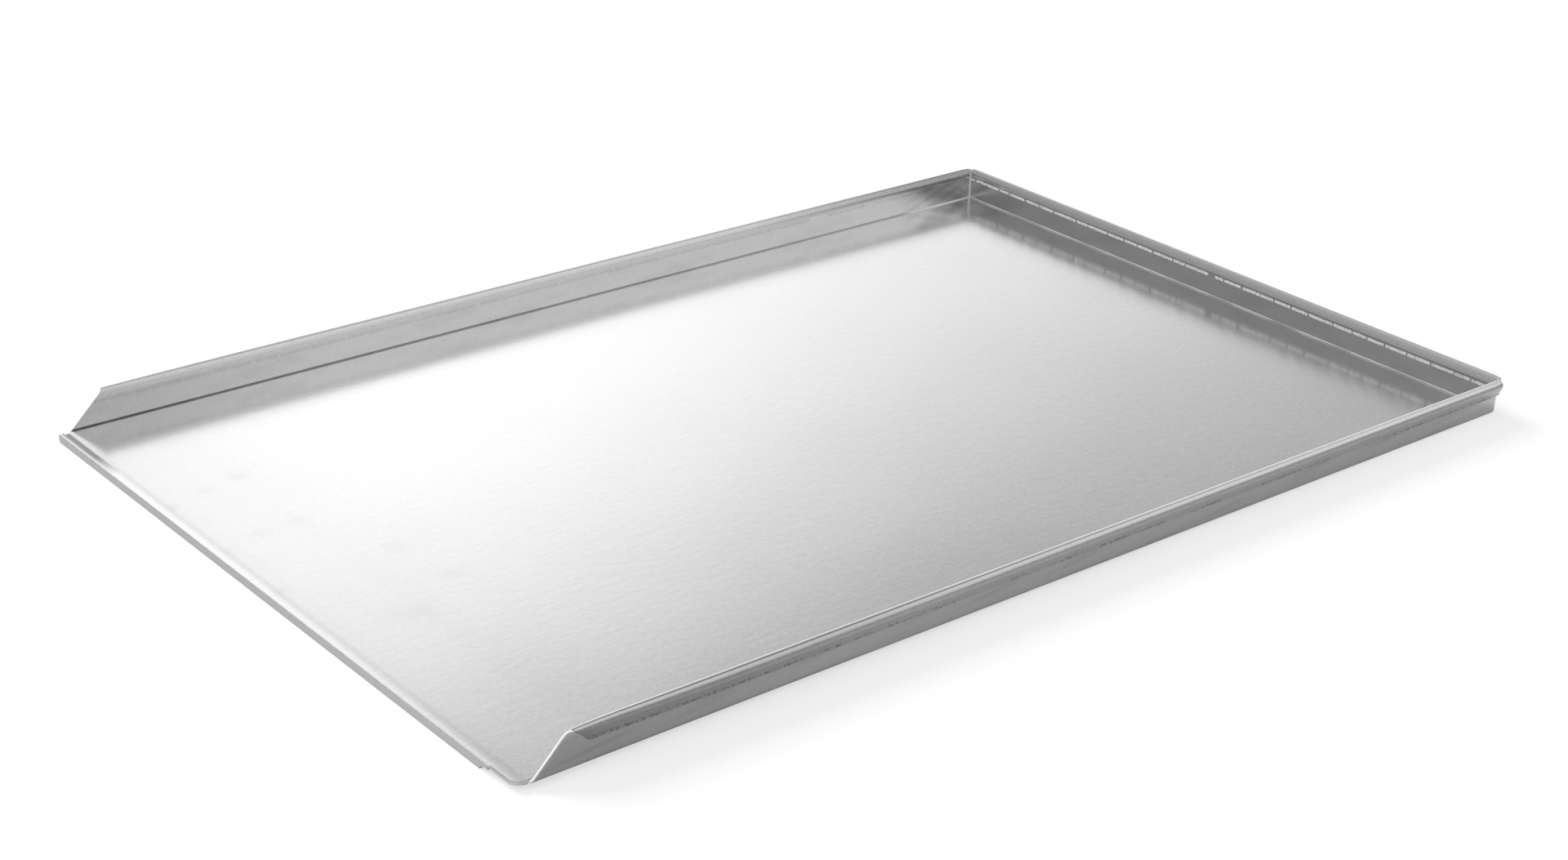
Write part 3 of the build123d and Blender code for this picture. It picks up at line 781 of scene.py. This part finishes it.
# End hem: the same roll across the closed end, rolled from the top of the end wall.
# Its leaf springs open and hangs lower at both corners.
sprung_lean, sprung_depth, sprung_length = -6.0, 10.5, 14.0
y = np.concatenate([-wall_face_y + edge_steps, np.linspace(-192.5, -178, 16), np.linspace(-174, 174, 80),
                    np.linspace(178, 192.5, 16), wall_face_y - edge_steps[::-1]])
sprung = ramp(abs(y), wall_face_y - sprung_length, sprung_length)
u, z, look, to_edge = hem_section(np.full(y.shape, full_hollow), full_lean + (sprung_lean - full_lean) * sprung,
                                  hem_depth + (sprung_depth - hem_depth) * sprung)
y = np.broadcast_to(y[:, None], u.shape)
u = beaten_in(u + end_bow(y), ramp(abs(y), wall_face_y - pull_length, pull_length))
middle = np.stack([wall_face_x + u, y, z], -1)
facing = np.stack([np.cos(look), np.zeros(look.shape), np.sin(look)], -1)
free_end = np.where(look < 0.3, wall_face_y - abs(y), far_off)
# painted light: the hem's tone is lifted above the metal's grey, most towards the front
closed_end_hem = lay_sheet("closed_end_hem", middle, facing, edge_half(np.minimum(to_edge, free_end)),
                           outside=(ramp(np.degrees(look), 60, -30), 1.0),
                           tone=(np.interp(y, (-190, 0, 190), (1.16, 1.10, 1.02)), 1.0))
closed_end_hem.data.materials.append(rolled_hem)
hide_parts("end_rim")
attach(closed_end_hem, "root")

# Closed corners: the upright edges and the ends of the rolls are welded together and dressed off by hand.
# A thin bright bead runs down the inside of each corner.
hem_radius = full_hollow + sheet
corner_crush = 0.12               # how much the dressed corner lies inside the straight chord between the rolls
dress_depth = 0.12
bead_radius, bead_inset = 0.62, 0.1


def corner_cap(name, side):
    """Corner weld: the outline of roll, upright and foot swept a quarter turn about the inside corner edge.

    The reach of the roll follows the chord from one wall to the other, crushed inwards in the middle, and a ripple
    roughens what was dressed.
    """
    sweep = np.linspace(0, pi / 2, 19)
    chord = (2 * hem_radius - corner_pull) / (np.cos(sweep) + np.sin(sweep))
    reach = chord * (1 - corner_crush * np.sin(2 * sweep) ** 2)
    over = np.linspace(pi, 0, 25)
    roll_u = (1 + np.cos(over)) / 2
    roll_z = spring_level + hem_radius * np.sin(over)
    under_u = np.array((0.75, 0.5, 0.3))
    upright_z = np.linspace(spring_level - 0.6, bend_level, 14)
    foot_turn = np.linspace(0, -np.arccos(bend_radius / (bend_radius + sheet)), 9)[1:]
    foot_u = -bend_radius + (bend_radius + sheet) * np.cos(foot_turn)
    foot_z = bend_level + (bend_radius + sheet) * np.sin(foot_turn)
    lower_u = np.concatenate([np.full(upright_z.shape, sheet), foot_u])
    u = np.concatenate([reach[:, None] * roll_u[None, :], sheet + (reach[:, None] - sheet) * under_u[None, :],
                        np.broadcast_to(lower_u, (sweep.size, lower_u.size))], 1)
    z = np.concatenate([roll_z, np.full(under_u.shape, spring_level), upright_z, foot_z])
    z = np.broadcast_to(z[None, :], u.shape)
    across, along = np.cos(sweep)[:, None], np.sin(sweep)[:, None]
    middle_share = np.sin(2 * sweep)[:, None]
    dress = dress_depth * middle_share * waves(u * across * 10, u * along * 10 + z * 10, (17, 11, 23, 14), 3)
    u = np.maximum(u + np.where(u > 0.3, dress - dress_depth * middle_share, 0), 0)
    points = np.stack([wall_face_x + u * along, side * (wall_face_y + u * across), z], -1)
    index = np.arange(u.size).reshape(u.shape)
    ends = [index[0].tolist(), index[-1, ::-1].tolist()]
    return new_piece(name, points, quads_between(index).tolist() + ends)


def bead_ripple(height):
    """Ripple of the bead along its height, between -1 and 1."""
    return waves(height * 10, 0 * height, (9, 14, 7, 21), 11)


def inside_bead(name, side):
    """Bead down the inside corner edge: a thin round cord whose radius ripples along its height."""
    height = np.linspace(floor_top - 0.2, spring_level + 0.8, 70)
    around = np.linspace(0, 2 * pi, 13)[:-1]
    radius = bead_radius * (1 + 0.28 * bead_ripple(height))
    radius[[0, -1]] = 0.05
    x = wall_face_x - bead_inset + radius[:, None] * np.cos(around)
    y = side * (wall_face_y - bead_inset + radius[:, None] * np.sin(around))
    points = np.stack([x, y, np.broadcast_to(height[:, None], x.shape)], -1)
    index = np.arange(x.size).reshape(x.shape)
    beside = np.roll(index, -1, axis=1)
    quads = np.stack([index[:-1], beside[:-1], beside[1:], index[1:]], -1).reshape(-1, 4)
    ends = [index[0, ::-1].tolist(), index[-1].tolist()]
    return new_piece(name, points, quads.tolist() + ends)


def close_up(mesh):
    """Merges the doubles at the poles and turns every face outwards. It gives the heights of the points."""
    work = bmesh.new()
    work.from_mesh(mesh)
    bmesh.ops.remove_doubles(work, verts=work.verts, dist=1e-7)
    bmesh.ops.recalc_face_normals(work, faces=work.faces)
    work.to_mesh(mesh)
    work.free()
    smooth_off(mesh)
    places = np.empty(len(mesh.vertices) * 3, np.float32)
    mesh.vertices.foreach_get("co", places)
    return places[2::3] * 1000


corner_weld = aluminium("corner_weld", 0.8, 0.7, 0.3, ripple=3.0, speckle=0.6)
for name, side in (("front_corner", -1), ("back_corner", 1)):
    corner = corner_cap(name, side)
    height = close_up(corner.data)
    # painted shade under the roll
    under_roll_shade = 0.7 * ramp(height, 13.5, 2) * ramp(height, spring_level + 0.6, -0.6)
    keep_on_points(corner.data, {"tone": 1 - under_roll_shade, "pale": 0.0, "tool_row": far_off})
    bead = inside_bead(name + "_bead", side)
    height = close_up(bead.data)
    keep_on_points(bead.data, {"tone": 1.0, "pale": 0.9 * (0.7 + 0.3 * bead_ripple(height)), "tool_row": far_off})
    join_into(corner, bead)
    corner.data.materials.append(corner_weld)
    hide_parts(name + "_weld")
    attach(corner, "root")
